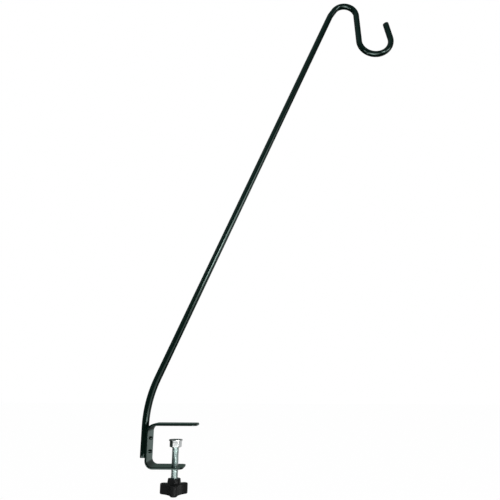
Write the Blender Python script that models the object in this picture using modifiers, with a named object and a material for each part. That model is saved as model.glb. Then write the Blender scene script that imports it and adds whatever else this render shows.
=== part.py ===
# Clamp-on deck hook: a bent steel rod welded to a C bracket, held to a rail by a clamp screw.
# Metres, +Z up. The origin is where the clamp screw's axis meets the rail seat, the underside
# of the top jaw. +X points out of the throat, the way the hook reaches; Y runs across the bar.

import math

import bmesh
import bpy
import numpy as np
from mathutils import Matrix, Vector

# Clearances shared by every pair of pieces
GAP = 0.0003                    # between pieces that touch or turn in each other
OVERRUN = 0.004                 # how far a cutter runs past the face it cuts

# Flat bar bracket
BAR_WIDTH = 0.0508
BAR_THICKNESS = 0.0040
BAR_EDGE_RADIUS = 0.0008
THROAT_HEIGHT = 0.0647          # between the jaws' facing sides
TOP_JAW_LENGTH = 0.0857         # from the web's back
LOWER_JAW_LENGTH = 0.0642       # from the web's back
JAW_CORNER_RADIUS = 0.010
BEND_INNER_RADIUS = 0.0102
SCREW_SETBACK = 0.0164          # clamp screw's axis to the lower jaw's end
WEB_HOLE_DIAMETER = 0.0050
WEB_HOLE_DROP = 0.0209          # upper hole's centre below the rail seat
WEB_HOLE_SPACING = 0.0215

# Hook rod: straight foot, long bend, straight run, neck, arch, leg, hook and tip
ROD_DIAMETER = 0.0127
ROD_END_CHAMFER = 0.0007
FOOT_DROP = 0.0528              # rod's cut lower end below the rail seat
FOOT_LENGTH = 0.0504
FOOT_BEND_RADIUS = 0.203
FOOT_BEND_ANGLE = math.radians(23.57)
RUN_LENGTH = 0.8480
HOOK_TOP_RADIUS = 0.0264        # neck and arch, on the rod's centre line
NECK_ANGLE = math.radians(10.5)
NECK_LENGTH = 0.0142
ARCH_ANGLE = math.radians(143.7)
LEG_LENGTH = 0.0664
CRADLE_RADIUS = 0.0344
CRADLE_ANGLE = math.radians(189.4)
TIP_LENGTH = 0.0371

# Plug welds, which fill the web's holes from the rod outwards
PLUG_RECESS = 0.0015            # plug's rim below the web's face
PLUG_CROWN = 0.0005             # its middle above that rim
PLUG_CROWN_SHARE = 0.6          # crown's flat middle, as a share of the plug's radius

# Clamp screw: stud, nut and pad
THREAD_DIAMETER = 0.0120
STUD_CHAMFER = 0.0009
PAD_DROP = 0.0227               # pad's face below the rail seat, as photographed
SCREW_FREE_LENGTH = 0.0493      # stud between the nut and the knob
SCREW_ANGLE = math.radians(-81.0)   # a flat of the nut and a lobe of the knob face this way
NUT_ACROSS_FLATS = 0.0180
NUT_HEIGHT = 0.0110
NUT_CHAMFER_ANGLE = math.radians(30.0)
NUT_FACE_SHARE = 0.95           # chamfered face's diameter, as a share of the width across flats
PAD_DIAMETER = 0.0231
PAD_HEIGHT = 0.0024
PAD_SHEET = 0.0015
PAD_EDGE_RADIUS = 0.0007
DIMPLE_DEPTH = 0.0015
DIMPLE_TOP_RADIUS = 0.0054
DIMPLE_FLOOR_RADIUS = 0.0046
SPIGOT_DIAMETER = 0.0060        # stud's turned-down end, through the pad
RIVET_HEAD_DIAMETER = 0.0084
RIVET_HEAD_HEIGHT = 0.0010

# Knob and its insert
KNOB_RADIUS = 0.0262
LOBE_COUNT = 3
LOBE_END_RADIUS = 0.0061
LOBE_HEIGHT = 0.0174
WAIST_RADIUS = 0.0122           # hollow between two lobes, from the axis
KNOB_EDGE_RADIUS = 0.0022
HUB_HEIGHT = 0.0084
HUB_TOP_RADIUS = 0.0106
HUB_FOOT_RADIUS = 0.0117
HUB_EDGE_RADIUS = 0.0008
INSERT_DIAMETER = 0.0160
INSERT_LENGTH = 0.0180
INSERT_GROOVE_DEPTH = 0.0010
INSERT_GROOVE_SHARE = 0.34      # groove's width, as a share of the insert's length
STUD_ENTRY = 0.0160             # stud's length inside the insert

# Smoothness, in segments
ROD_SIDES_HALF = 8              # half the number of sides of the rod
BEND_STEP = math.radians(7.2)   # most that the rod turns between two rings
ROUND_STEPS = 40
SMALL_ROUND_STEPS = 28
BAR_BEND_STEPS = 8
CORNER_STEPS = 6
EDGE_STEPS = 2
FLAT_ANGLE = math.radians(0.2)  # faces that turn less than this are one flat face

# Places that follow from the sizes above
ROD_RADIUS = ROD_DIAMETER / 2
WEB_BACK_X = SCREW_SETBACK - LOWER_JAW_LENGTH
ROD_X = WEB_BACK_X - GAP - ROD_RADIUS
LOWER_JAW_TOP = -THROAT_HEIGHT
LOWER_JAW_UNDERSIDE = LOWER_JAW_TOP - BAR_THICKNESS
NUT_TOP = -PAD_DROP - PAD_SHEET - GAP
NUT_UNDERSIDE = NUT_TOP - NUT_HEIGHT
HUB_TOP = NUT_UNDERSIDE - SCREW_FREE_LENGTH
LOBE_TOP = HUB_TOP - HUB_HEIGHT
KNOB_UNDERSIDE = LOBE_TOP - LOBE_HEIGHT

# Colours as (red, green, blue), roughness, metallic
POWDER_COAT = ((0.010, 0.017, 0.014), 0.34, 0.0)
WELD_COAT = ((0.011, 0.018, 0.015), 0.42, 0.0)
ZINC = ((0.62, 0.65, 0.66), 0.30, 1.0)
BLACK_PLASTIC = ((0.012, 0.012, 0.012), 0.28, 0.0)


def clear_scene():
    """Remove whatever the scene holds."""
    for obj in list(bpy.data.objects):
        bpy.data.objects.remove(obj, do_unlink=True)


def new_collection(name):
    """Make a collection in the scene."""
    collection = bpy.data.collections.new(name)
    bpy.context.scene.collection.children.link(collection)
    return collection


def new_material(name, finish):
    """Make one Principled material from a colour, a roughness and a metallic value."""
    colour, roughness, metallic = finish
    material = bpy.data.materials.new(name)
    material.use_nodes = True
    shader = material.node_tree.nodes["Principled BSDF"]
    shader.inputs["Base Color"].default_value = (*colour, 1.0)
    shader.inputs["Roughness"].default_value = roughness
    shader.inputs["Metallic"].default_value = metallic
    material.diffuse_color = (*colour, 1.0)
    return material


def add_object(collection, name, data, finish=None):
    """Link a mesh or a curve to a collection, with a material of its own."""
    obj = bpy.data.objects.new(name, data)
    collection.objects.link(obj)
    if finish is not None:
        data.materials.append(new_material(name, finish))
    return obj


def shade_round(obj, angle=math.radians(35.0)):
    """Shade a mesh smooth and keep its edges sharp."""
    obj.data.shade_smooth()
    obj.data.set_sharp_from_angle(angle=angle)


def mesh_from_bmesh(name, shape):
    """Turn a bmesh into a mesh with its faces pointing out."""
    bmesh.ops.recalc_face_normals(shape, faces=shape.faces)
    mesh = bpy.data.meshes.new(name)
    shape.to_mesh(mesh)
    shape.free()
    return mesh


def mesh_of(obj, weld):
    """Evaluate an object to a closed mesh of its own and remove the object."""
    place = obj.matrix_world.copy()
    name = obj.name
    graph = bpy.context.evaluated_depsgraph_get()
    mesh = bpy.data.meshes.new_from_object(obj.evaluated_get(graph), depsgraph=graph)
    bpy.data.objects.remove(obj, do_unlink=True)
    shape = bmesh.new()
    shape.from_mesh(mesh)
    bmesh.ops.remove_doubles(shape, verts=shape.verts, dist=weld)
    bmesh.ops.dissolve_limit(shape, angle_limit=FLAT_ANGLE, verts=shape.verts, edges=shape.edges)
    bmesh.ops.recalc_face_normals(shape, faces=shape.faces)
    shape.to_mesh(mesh)
    shape.free()
    mesh.name = name
    return mesh, place


def turned(collection, name, profile, steps, finish=None):
    """Turn a profile, given as (radius, height) from top to bottom, round the Z axis."""
    shape = bmesh.new()
    points = [shape.verts.new((radius, 0.0, height)) for radius, height in profile]
    for first, second in zip(points, points[1:]):
        shape.edges.new((first, second))
    if profile[0][0] > 0.0 and profile[-1][0] > 0.0:
        shape.edges.new((points[-1], points[0]))
    mesh = bpy.data.meshes.new(name)
    shape.to_mesh(mesh)
    shape.free()
    obj = add_object(collection, name, mesh, finish)
    screw = obj.modifiers.new("Turn", "SCREW")
    screw.axis = "Z"
    screw.steps = steps
    screw.render_steps = steps
    screw.use_merge_vertices = True
    screw.merge_threshold = GAP / 10
    return obj


def cylinder(collection, name, radius, low, high, centre=(0.0, 0.0), steps=SMALL_ROUND_STEPS):
    """Make an upright cylinder between two heights."""
    shape = bmesh.new()
    bmesh.ops.create_cone(shape, cap_ends=True, segments=steps, radius1=radius, radius2=radius,
                          depth=high - low)
    bmesh.ops.translate(shape, verts=shape.verts, vec=(*centre, (low + high) / 2))
    return add_object(collection, name, mesh_from_bmesh(name, shape))


def block(collection, name, low, high):
    """Make a box between two corners."""
    shape = bmesh.new()
    bmesh.ops.create_cube(shape, size=1.0)
    low, high = Vector(low), Vector(high)
    bmesh.ops.scale(shape, verts=shape.verts, vec=high - low)
    bmesh.ops.translate(shape, verts=shape.verts, vec=(low + high) / 2)
    return add_object(collection, name, mesh_from_bmesh(name, shape))


def as_cutter(obj):
    """Mark an object as a guide that only cuts others."""
    obj.display_type = "WIRE"
    obj.hide_render = True
    return obj


def boolean(obj, cutter, operation):
    """Add one exact Boolean with a cutter."""
    modifier = obj.modifiers.new(operation.title(), "BOOLEAN")
    modifier.operation = operation
    modifier.object = as_cutter(cutter)
    modifier.solver = "EXACT"
    return modifier


def arc(centre, radius, start, end, steps):
    """Give the points of an arc in a plane, both ends included."""
    angles = np.linspace(start, end, steps + 1)
    return [(centre[0] + radius * math.cos(a), centre[1] + radius * math.sin(a)) for a in angles]


def flat_outline(collection, name, points, half_depth, finish=None):
    """Fill a closed outline and give it a thickness on both sides of its plane."""
    curve = bpy.data.curves.new(name, "CURVE")
    curve.dimensions = "2D"
    curve.fill_mode = "BOTH"
    curve.extrude = half_depth
    spline = curve.splines.new("POLY")
    spline.points.add(len(points) - 1)
    for point, (across, up) in zip(spline.points, points):
        point.co = (across, up, 0.0, 1.0)
    spline.use_cyclic_u = True
    return add_object(collection, name, curve, finish)


def rod_centre_line():
    """Follow the rod's straights and bends, all in the plane Y = 0, from its foot to its tip."""
    position = np.array([ROD_X, -FOOT_DROP])
    heading = 0.0
    points = [position]
    stretches = (
        (FOOT_LENGTH, FOOT_BEND_RADIUS, FOOT_BEND_ANGLE),
        (RUN_LENGTH, HOOK_TOP_RADIUS, NECK_ANGLE),
        (NECK_LENGTH, HOOK_TOP_RADIUS, ARCH_ANGLE),
        (LEG_LENGTH, CRADLE_RADIUS, -CRADLE_ANGLE),
        (TIP_LENGTH, 0.0, 0.0),
    )
    for straight, radius, turn in stretches:
        position = position + straight * np.array([math.sin(heading), math.cos(heading)])
        points.append(position)
        if turn == 0.0:
            continue
        side = math.copysign(1.0, turn)
        centre = position + side * radius * np.array([math.cos(heading), -math.sin(heading)])
        steps = math.ceil(abs(turn) / BEND_STEP)
        for step in range(1, steps + 1):
            angle = heading + turn * step / steps
            position = centre - side * radius * np.array([math.cos(angle), -math.sin(angle)])
            points.append(position)
        heading += turn
    return points


def build_hook_rod(parts):
    """The bent rod: one round bar along its centre line, with both cut ends chamfered."""
    curve = bpy.data.curves.new("hook_rod", "CURVE")
    curve.dimensions = "3D"
    curve.bevel_depth = ROD_RADIUS
    curve.bevel_resolution = ROD_SIDES_HALF - 2
    curve.use_fill_caps = True
    line = rod_centre_line()
    spline = curve.splines.new("POLY")
    spline.points.add(len(line) - 1)
    for point, (across, up) in zip(spline.points, line):
        point.co = (across, 0.0, up, 1.0)
    path = add_object(parts, "hook_rod", curve)
    bpy.context.view_layer.update()
    mesh, place = mesh_of(path, weld=GAP / 10)
    shape = bmesh.new()
    shape.from_mesh(mesh)
    rims = [edge for edge in shape.edges if max(len(face.verts) for face in edge.link_faces) > 4]
    bmesh.ops.bevel(shape, geom=rims, offset=ROD_END_CHAMFER, segments=1, affect="EDGES")
    shape.to_mesh(mesh)
    shape.free()
    obj = add_object(parts, "hook_rod", mesh, POWDER_COAT)
    obj.matrix_world = place
    shade_round(obj)
    return obj


def bracket_outline():
    """The C of the bracket, seen along Y, as points (x, z) round the bent bar."""
    outer = BEND_INNER_RADIUS + BAR_THICKNESS
    top = BAR_THICKNESS
    bend_x = WEB_BACK_X + outer
    upper_z = top - outer
    lower_z = LOWER_JAW_UNDERSIDE + outer
    left, down, right, up = math.pi, 1.5 * math.pi, 0.0, 0.5 * math.pi
    points = [(WEB_BACK_X + TOP_JAW_LENGTH, top)]
    points += arc((bend_x, upper_z), outer, up, left, BAR_BEND_STEPS)
    points += arc((bend_x, lower_z), outer, left, down, BAR_BEND_STEPS)
    points.append((WEB_BACK_X + LOWER_JAW_LENGTH, LOWER_JAW_UNDERSIDE))
    points.append((WEB_BACK_X + LOWER_JAW_LENGTH, LOWER_JAW_TOP))
    points += arc((bend_x, lower_z), BEND_INNER_RADIUS, down, left, BAR_BEND_STEPS)
    points += arc((bend_x, upper_z), BEND_INNER_RADIUS, left, up, BAR_BEND_STEPS)
    points.append((WEB_BACK_X + TOP_JAW_LENGTH, right))
    return points


def build_bracket(parts, cutters):
    """Flat bar bent to a C, its jaw corners rounded, with the tapped hole and two weld holes."""
    flat = flat_outline(parts, "clamp_bracket", bracket_outline(), BAR_WIDTH / 2)
    flat.rotation_euler = (math.radians(90.0), 0.0, 0.0)
    bpy.context.view_layer.update()
    mesh, place = mesh_of(flat, weld=GAP / 10)
    mesh.transform(place)
    shape = bmesh.new()
    shape.from_mesh(mesh)
    ends = (WEB_BACK_X + TOP_JAW_LENGTH, WEB_BACK_X + LOWER_JAW_LENGTH)
    corners = []
    for edge in shape.edges:
        first, second = (vertex.co for vertex in edge.verts)
        upright = abs(first.x - second.x) < GAP and abs(first.y - second.y) < GAP
        at_end = min(abs(first.x - end) for end in ends) < GAP
        if upright and at_end:
            corners.append(edge)
    bmesh.ops.bevel(shape, geom=corners, offset=JAW_CORNER_RADIUS, segments=CORNER_STEPS,
                    profile=0.5, affect="EDGES")
    shape.to_mesh(mesh)
    shape.free()
    obj = add_object(parts, "clamp_bracket", mesh, POWDER_COAT)
    edge_round = obj.modifiers.new("Bar edges", "BEVEL")
    edge_round.width = BAR_EDGE_RADIUS
    edge_round.segments = EDGE_STEPS
    edge_round.limit_method = "ANGLE"
    edge_round.angle_limit = math.radians(50.0)
    screw_hole = cylinder(cutters, "screw_hole", THREAD_DIAMETER / 2 + GAP,
                          LOWER_JAW_UNDERSIDE - OVERRUN, LOWER_JAW_TOP + OVERRUN,
                          steps=ROUND_STEPS)
    boolean(obj, screw_hole, "DIFFERENCE")
    for index in range(2):
        hole = cylinder(cutters, f"web_hole_{index}", WEB_HOLE_DIAMETER / 2, -OVERRUN,
                        BAR_THICKNESS + OVERRUN)
        hole.rotation_euler = (0.0, math.radians(90.0), 0.0)
        hole.location = (WEB_BACK_X, 0.0, -WEB_HOLE_DROP - index * WEB_HOLE_SPACING)
        boolean(obj, hole, "DIFFERENCE")
    shade_round(obj)
    return obj


def build_welds(parts, cutters):
    """Plug welds: one in each of the web's holes, from the rod to a crown below the web's face."""
    rod_room = cylinder(cutters, "rod_room", ROD_RADIUS + GAP, -FOOT_DROP - OVERRUN,
                        BAR_THICKNESS + OVERRUN, centre=(ROD_X, 0.0), steps=ROUND_STEPS)
    radius = WEB_HOLE_DIAMETER / 2 - GAP
    rim = BAR_THICKNESS - PLUG_RECESS
    welds = []
    for index, level in enumerate(("upper", "lower")):
        profile = [
            (0.0, rim + PLUG_CROWN),
            (PLUG_CROWN_SHARE * radius, rim + PLUG_CROWN),
            (radius, rim),
            (radius, -GAP),
            (0.0, -GAP),
        ]
        plug = turned(parts, f"weld_{level}", profile, SMALL_ROUND_STEPS, WELD_COAT)
        plug.rotation_euler = (0.0, math.radians(90.0), 0.0)
        plug.location = (WEB_BACK_X, 0.0, -WEB_HOLE_DROP - index * WEB_HOLE_SPACING)
        boolean(plug, rod_room, "DIFFERENCE")
        shade_round(plug)
        welds.append(plug)
    return welds


def build_stud(parts, screw):
    """Threaded stud: a plain shank at the thread's size, spigot and peened head at its top."""
    shoulder = -PAD_DROP - DIMPLE_DEPTH - PAD_SHEET - GAP
    head_foot = -PAD_DROP - DIMPLE_DEPTH + GAP
    head_radius = RIVET_HEAD_DIAMETER / 2
    radius = THREAD_DIAMETER / 2
    foot = HUB_TOP - STUD_ENTRY
    profile = [
        (0.0, head_foot + RIVET_HEAD_HEIGHT),
        (head_radius / 2, head_foot + RIVET_HEAD_HEIGHT * 0.85),
        (head_radius, head_foot + RIVET_HEAD_HEIGHT / 2),
        (head_radius, head_foot),
        (SPIGOT_DIAMETER / 2, head_foot),
        (SPIGOT_DIAMETER / 2, shoulder),
        (radius - STUD_CHAMFER, shoulder),
        (radius, shoulder - STUD_CHAMFER),
        (radius, foot + STUD_CHAMFER),
        (radius - STUD_CHAMFER, foot),
        (0.0, foot),
    ]
    stud = turned(parts, "clamp_stud", profile, ROUND_STEPS, ZINC)
    stud.parent = screw
    shade_round(stud)
    return stud


def build_nut(parts, cutters, screw):
    """Hex nut, its corners cut back by the chamfer cone at both faces."""
    flats = NUT_ACROSS_FLATS / 2
    corner = flats / math.cos(math.pi / 6)
    shape = bmesh.new()
    bmesh.ops.create_cone(shape, cap_ends=True, segments=6, radius1=corner, radius2=corner,
                          depth=NUT_HEIGHT)
    bmesh.ops.rotate(shape, verts=shape.verts, matrix=Matrix.Rotation(math.pi / 6, 3, "Z"))
    middle = (NUT_TOP + NUT_UNDERSIDE) / 2
    bmesh.ops.translate(shape, verts=shape.verts, vec=(0.0, 0.0, middle))
    nut = add_object(parts, "lock_nut", mesh_from_bmesh("lock_nut", shape), ZINC)
    nut.parent = screw
    nut.rotation_euler = (0.0, 0.0, SCREW_ANGLE)
    face = NUT_FACE_SHARE * flats
    drop = (corner - face) * math.tan(NUT_CHAMFER_ANGLE)
    cone = turned(cutters, "nut_cone", [
        (0.0, NUT_TOP),
        (face, NUT_TOP),
        (corner + GAP, NUT_TOP - drop - GAP * math.tan(NUT_CHAMFER_ANGLE)),
        (corner + GAP, NUT_UNDERSIDE + drop + GAP * math.tan(NUT_CHAMFER_ANGLE)),
        (face, NUT_UNDERSIDE),
        (0.0, NUT_UNDERSIDE),
    ], ROUND_STEPS)
    bore = cylinder(cutters, "nut_bore", THREAD_DIAMETER / 2 + GAP, NUT_UNDERSIDE - OVERRUN,
                    NUT_TOP + OVERRUN, steps=ROUND_STEPS)
    boolean(nut, cone, "INTERSECT")
    boolean(nut, bore, "DIFFERENCE")
    shade_round(nut)
    return nut


def build_pad(parts, cup):
    """Pressed pad: a shallow cup over the nut, its middle dimpled down round the rivet."""
    face = -PAD_DROP
    radius = PAD_DIAMETER / 2
    hole = SPIGOT_DIAMETER / 2 + GAP
    corner = arc((radius - PAD_EDGE_RADIUS, face - PAD_EDGE_RADIUS), PAD_EDGE_RADIUS,
                 0.5 * math.pi, 0.0, 3)
    outside = [(hole, face - DIMPLE_DEPTH), (DIMPLE_FLOOR_RADIUS, face - DIMPLE_DEPTH),
               (DIMPLE_TOP_RADIUS, face)] + corner
    inside = [
        (radius, face - PAD_HEIGHT),
        (radius - PAD_SHEET, face - PAD_HEIGHT),
        (radius - PAD_SHEET, face - PAD_SHEET),
        (DIMPLE_TOP_RADIUS + GAP, face - PAD_SHEET),
        (DIMPLE_TOP_RADIUS, face - DIMPLE_DEPTH - PAD_SHEET),
        (hole, face - DIMPLE_DEPTH - PAD_SHEET),
    ]
    pad = turned(parts, "pressure_pad", outside + inside, ROUND_STEPS, ZINC)
    pad.parent = cup
    shade_round(pad)
    return pad


def knob_outline():
    """Lobes with round ends, joined by hollow arcs that touch both neighbours' ends."""
    reach = KNOB_RADIUS - LOBE_END_RADIUS
    half_pitch = math.pi / LOBE_COUNT
    along = reach * math.cos(half_pitch)
    # The hollow's circle stands off the waist by its own radius and touches the lobe's end
    # circle: radius = (end^2 - reach^2 - waist^2 + 2 waist along) / (2 (waist - along - end))
    top = LOBE_END_RADIUS ** 2 - reach ** 2 - WAIST_RADIUS ** 2 + 2 * WAIST_RADIUS * along
    hollow = top / (2 * (WAIST_RADIUS - along - LOBE_END_RADIUS))
    distance = WAIST_RADIUS + hollow
    points = []
    for lobe in range(LOBE_COUNT):
        angle = 2 * half_pitch * lobe
        end = np.array([reach * math.cos(angle), reach * math.sin(angle)])
        middle = angle + half_pitch
        centre = np.array([distance * math.cos(middle), distance * math.sin(middle)])
        touch = centre - end
        swing = math.atan2(touch[1], touch[0]) - angle
        swing = math.atan2(math.sin(swing), math.cos(swing))
        points += arc(end, LOBE_END_RADIUS, angle - swing, angle + swing, 2 * CORNER_STEPS)
        facing = math.atan2(-touch[1], -touch[0])
        back = 2 * (middle + math.pi - facing)
        back = math.atan2(math.sin(back), math.cos(back))
        points += arc(centre, hollow, facing, facing + back, 2 * CORNER_STEPS)[1:-1]
    return points


def insert_profile(spread):
    """The insert's outline from top to bottom, grown sideways and down by a clearance."""
    radius = INSERT_DIAMETER / 2 + spread
    groove = radius - INSERT_GROOVE_DEPTH
    half_groove = INSERT_GROOVE_SHARE * INSERT_LENGTH / 2
    middle = HUB_TOP - INSERT_LENGTH / 2
    return [
        (radius, HUB_TOP),
        (radius, middle + half_groove - spread),
        (groove, middle + half_groove - spread - INSERT_GROOVE_DEPTH),
        (groove, middle - half_groove + spread + INSERT_GROOVE_DEPTH),
        (radius, middle - half_groove + spread),
        (radius, HUB_TOP - INSERT_LENGTH - spread),
    ]


def build_knob(parts, cutters, screw):
    """Moulded knob: three lobes with rounded edges, a tapered hub, and the insert's pocket."""
    height = LOBE_HEIGHT
    body = flat_outline(parts, "knob", knob_outline(), height / 2)
    body.location = (0.0, 0.0, LOBE_TOP - height / 2)
    bpy.context.view_layer.update()
    mesh, place = mesh_of(body, weld=GAP / 10)
    mesh.transform(place)
    knob = add_object(parts, "knob", mesh, BLACK_PLASTIC)
    knob.parent = screw
    knob.rotation_euler = (0.0, 0.0, SCREW_ANGLE)
    rounding = knob.modifiers.new("Moulded edges", "BEVEL")
    rounding.width = KNOB_EDGE_RADIUS
    rounding.segments = 3
    rounding.limit_method = "ANGLE"
    rounding.angle_limit = math.radians(50.0)
    shoulder = arc((HUB_TOP_RADIUS - HUB_EDGE_RADIUS, HUB_TOP - HUB_EDGE_RADIUS),
                   HUB_EDGE_RADIUS, 0.5 * math.pi, 0.0, EDGE_STEPS)
    hub = turned(cutters, "knob_hub", [
        (0.0, HUB_TOP),
        *shoulder,
        (HUB_FOOT_RADIUS, LOBE_TOP),
        (HUB_FOOT_RADIUS, LOBE_TOP - OVERRUN),
        (0.0, LOBE_TOP - OVERRUN),
    ], ROUND_STEPS)
    pocket_profile = insert_profile(GAP)
    mouth = (pocket_profile[0][0], HUB_TOP + OVERRUN)
    floor = (0.0, pocket_profile[-1][1])
    pocket = turned(cutters, "insert_pocket", [(0.0, HUB_TOP + OVERRUN), mouth]
                    + pocket_profile[1:] + [floor], ROUND_STEPS)
    boolean(knob, hub, "UNION")
    boolean(knob, pocket, "DIFFERENCE")
    shade_round(knob)
    return knob


def build_insert(parts, screw):
    """Threaded bush moulded into the knob, held by the groove round its middle."""
    bore = THREAD_DIAMETER / 2 + GAP
    profile = [(bore, HUB_TOP)] + insert_profile(0.0) + [(bore, HUB_TOP - INSERT_LENGTH)]
    insert = turned(parts, "knob_insert", profile, ROUND_STEPS, ZINC)
    insert.parent = screw
    shade_round(insert)
    return insert


def build():
    """Build every piece in its collection, moving pieces under their joints' empties."""
    clear_scene()
    parts = new_collection("deck_hook")
    cutters = new_collection("cutters")
    cup = bpy.data.objects.new("pad_axis", None)
    screw = bpy.data.objects.new("screw_axis", None)
    for empty in (cup, screw):
        empty.empty_display_size = ROD_DIAMETER
        parts.objects.link(empty)
    screw.parent = cup
    build_hook_rod(parts)
    build_bracket(parts, cutters)
    build_welds(parts, cutters)
    build_stud(parts, screw)
    build_nut(parts, cutters, screw)
    build_pad(parts, cup)
    build_knob(parts, cutters, screw)
    build_insert(parts, screw)
    bpy.context.view_layer.update()


build()
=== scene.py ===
"""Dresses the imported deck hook: a bent steel rod, a C bracket, welds and a clamp screw.

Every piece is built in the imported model's own frame, in metres. The origin lies where the clamp
screw's axis meets the rail seat, +X is the way the hook reaches, Y runs across the bar, +Z is up.
"""

import logging
import math
from dataclasses import dataclass
from enum import Enum
from typing import Sequence

import bmesh
import bpy
import numpy as np
from mathutils import Matrix, Vector


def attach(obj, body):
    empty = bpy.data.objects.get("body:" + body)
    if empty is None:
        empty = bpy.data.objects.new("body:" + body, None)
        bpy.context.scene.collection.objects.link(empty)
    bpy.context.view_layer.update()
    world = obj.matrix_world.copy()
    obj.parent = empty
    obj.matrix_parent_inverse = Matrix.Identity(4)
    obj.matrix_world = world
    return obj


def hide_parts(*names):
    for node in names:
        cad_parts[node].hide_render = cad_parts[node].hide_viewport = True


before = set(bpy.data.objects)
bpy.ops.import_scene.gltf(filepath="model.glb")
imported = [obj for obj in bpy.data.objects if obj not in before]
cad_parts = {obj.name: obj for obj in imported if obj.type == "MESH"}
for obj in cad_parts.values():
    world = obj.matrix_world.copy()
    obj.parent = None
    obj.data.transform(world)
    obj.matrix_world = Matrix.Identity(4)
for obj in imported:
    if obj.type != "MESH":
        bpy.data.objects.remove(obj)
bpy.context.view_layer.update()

log = logging.getLogger("deck_hook")

Socket = bpy.types.NodeSocket
Value = Socket | float | Sequence[float]
Triple = tuple[float, float, float]
Span = tuple[float, float]
Numbers = np.ndarray | float
Row = tuple[Numbers, Numbers]

MM = 0.001
TAU = 2.0 * math.pi


class Body(Enum):
    """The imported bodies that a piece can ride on."""

    HANGER = "hanger"
    PAD = "pad"
    SCREW = "clamp_screw"


class Slot(Enum):
    """The record's material slots."""

    COAT = "powder_coat"
    ZINC = "zinc_steel"
    PLASTIC = "black_plastic"


# Materials


class Wiring:
    """A node tree, with short calls for the nodes that the finishes and the room share."""

    def __init__(self, tree: bpy.types.NodeTree) -> None:
        """Keep the tree."""
        self.tree = tree

    def fill(self, socket: Socket, value: Value) -> None:
        """Link a socket to another one, or set it to a number, a vector or an opaque colour.

        Args:
            socket: The socket that is filled.
            value: What it gets.
        """
        if isinstance(value, Socket):
            self.tree.links.new(value, socket)
        elif socket.type == "RGBA":
            socket.default_value = (*value, 1.0)
        else:
            socket.default_value = value

    def settle(self, node: bpy.types.Node, **values: Value) -> None:
        """Fill a node's sockets by their names, with underscores for spaces."""
        for name, value in values.items():
            self.fill(node.inputs[name.replace("_", " ")], value)

    def node(self, kind: str, *values: Value, operation: str = "", **named: Value
             ) -> bpy.types.Node:
        """Add a node and fill its sockets.

        Args:
            kind: Blender's name of the node's type, less its leading ShaderNode.
            values: What fills its first sockets, in their order.
            operation: What a math node does.
            named: What fills other sockets, by name, as settle() takes it.

        Returns:
            The node.
        """
        node = self.tree.nodes.new(f"ShaderNode{kind}")
        if operation:
            node.operation = operation
        for socket, value in zip(node.inputs, values):
            self.fill(socket, value)
        self.settle(node, **named)
        return node

    def math(self, operation: str, *values: Socket | float) -> Socket:
        """The result of one math step."""
        return self.node("Math", *values, operation=operation).outputs[0]

    def remap(self, value: Socket, span: Span, onto: Span) -> Socket:
        """Map one span of values onto another, clamped at both ends."""
        return self.node("MapRange", value, *span, *onto).outputs["Result"]


@dataclass(frozen=True)
class Grain:
    """Fractal noise: features per metre, octaves, and the strength of each finer octave."""

    scale: float
    detail: float
    roughness: float


@dataclass(frozen=True)
class Specks:
    """Scattered specks: points per metre, a speck's share of their spacing, and its strength."""

    scale: float
    size: float
    strength: float


class Finish(Wiring):
    """A material's node tree, with short calls for the patterns that the finishes share."""

    def __init__(self, name: str) -> None:
        """Start a material.

        Args:
            name: The material's name.
        """
        self.material = bpy.data.materials.new(name)
        self.material.use_nodes = True
        super().__init__(self.material.node_tree)
        self.shader = self.tree.nodes["Principled BSDF"]
        self.place = self.node("TexCoord").outputs["Object"]

    def stretched(self, scale: Triple, turn: Triple = (0.0, 0.0, 0.0)) -> Socket:
        """The object's own coordinates, scaled and then turned by angles in radians."""
        return self.node("Mapping", self.place, Scale=scale, Rotation=turn).outputs["Vector"]

    def noise(self, grain: Grain, where: Socket | None = None) -> Socket:
        """Fractal noise in 0 to 1, at the object's own coordinates if no others are given."""
        return self.node("TexNoise", where or self.place, Scale=grain.scale, Detail=grain.detail,
                         Roughness=grain.roughness).outputs["Fac"]

    def mottle(self, patches: Socket, span: Span, most: float, specks: Specks) -> Socket:
        """Share of a second colour: soft patches, and specks that fade from their middles.

        Args:
            patches: Noise that the patches follow.
            span: Noise at which a patch begins, and at which it is full.
            most: Share of the second colour in a full patch.
            specks: The specks.

        Returns:
            The share.
        """
        away = self.node("TexVoronoi", self.place, Scale=specks.scale).outputs["Distance"]
        return self.math("ADD", self.remap(patches, span, (0.0, most)),
                         self.remap(away, (0.0, specks.size), (specks.strength, 0.0)))

    def blend(self, share: Socket, first: Triple, second: Triple) -> Socket:
        """Mix two colours.

        Args:
            share: Share of the second colour.
            first: First colour.
            second: Second colour.

        Returns:
            The mixed colour.
        """
        node = self.node("Mix", share)
        node.data_type = "RGBA"
        sockets = [socket for socket in node.inputs if socket.type == "RGBA"]
        self.fill(sockets[0], first)
        self.fill(sockets[1], second)
        return next(socket for socket in node.outputs if socket.type == "RGBA")

    def bump(self, height: Socket, depth: float, under: Socket | None = None) -> Socket:
        """Normal bent by a height in 0 to 1 that is depth metres deep, over a coarser one."""
        coarser = {} if under is None else {"Normal": under}
        return self.node("Bump", Strength=1.0, Distance=depth, Height=height,
                         **coarser).outputs["Normal"]

    def finish(self, **values: Value) -> bpy.types.Material:
        """Fill the shader's sockets by name, and hand over the material."""
        self.settle(self.shader, **values)
        return self.material


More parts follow.
